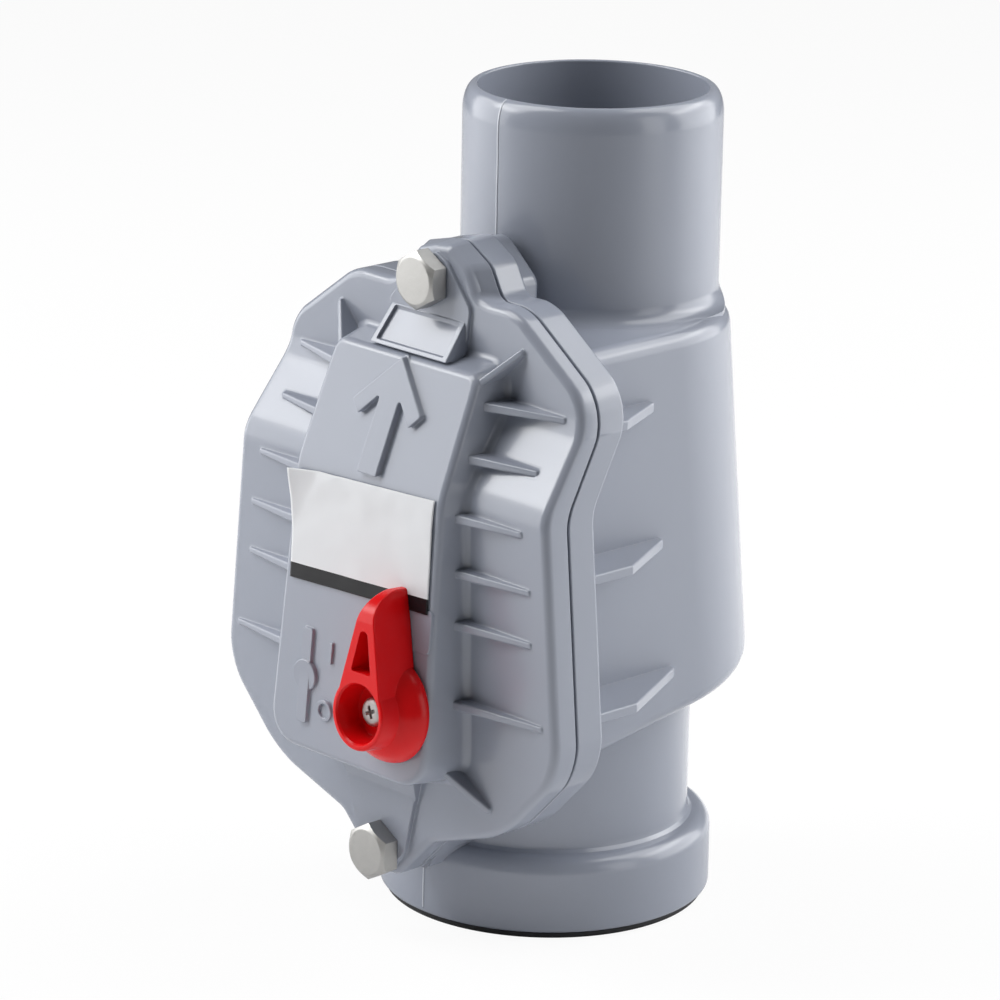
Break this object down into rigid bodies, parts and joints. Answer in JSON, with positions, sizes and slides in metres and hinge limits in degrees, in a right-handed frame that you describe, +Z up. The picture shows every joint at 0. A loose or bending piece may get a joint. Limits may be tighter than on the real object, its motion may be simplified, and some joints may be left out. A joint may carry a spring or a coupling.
{
  "type": "backwater valve",
  "caption": "Grey plastic drain backwater valve with a bolted cover, a hinged flap inside and a red lever that locks the flap.",
  "frame": {"origin": "middle of the box's base, on the surface that the seal ring stands on", "axes": "+Z up along the socket and the spigot, -Y out of the cover, +X to the right of the cover"},
  "size_m": [0.0926, 0.1026, 0.16],
  "materials": {
    "grey_plastic": "blue-grey moulded ABS, semi-gloss, fine mould grain",
    "red_plastic": "bright red moulded plastic, glossy",
    "black_plastic": "black moulded plastic, satin",
    "black_rubber": "black rubber, dull",
    "stainless_steel": "stainless steel, lightly brushed",
    "label_film": "white film label with a plain black band, no print"
  },
  "bodies": {
    "valve": {"valve_body": "grey_plastic", "cover": "grey_plastic", "cover_gasket": "black_rubber", "upper_bolt": "stainless_steel", "lower_bolt": "stainless_steel", "upper_nut": "stainless_steel", "lower_nut": "stainless_steel", "hinge_pin": "stainless_steel", "hinge_clip": "stainless_steel", "socket_seal": "black_rubber", "label": "label_film"},
    "lever": {"lever": "red_plastic", "lever_screw": "stainless_steel", "lever_shaft": "black_plastic", "outer_o_ring": "black_rubber", "inner_o_ring": "black_rubber", "locking_cam": "black_plastic", "cam_screw": "stainless_steel"},
    "flap": {"flap": "black_plastic", "flap_seal": "black_rubber", "flap_retainer": "black_plastic", "flap_screw": "stainless_steel"}
  },
  "joints": [
    {"name": "lever_turn", "type": "hinge", "parent": "valve", "child": "lever", "pos_m": [0.0127, -0.04113, 0.0511], "axis": [0, -0.9952, 0.0975], "range_deg": [0, 180]},
    {"name": "flap_swing", "type": "hinge", "parent": "valve", "child": "flap", "pos_m": [0, -0.02033, 0.0474], "axis": [1, 0, 0], "range_deg": [0, 62]}
  ]
}
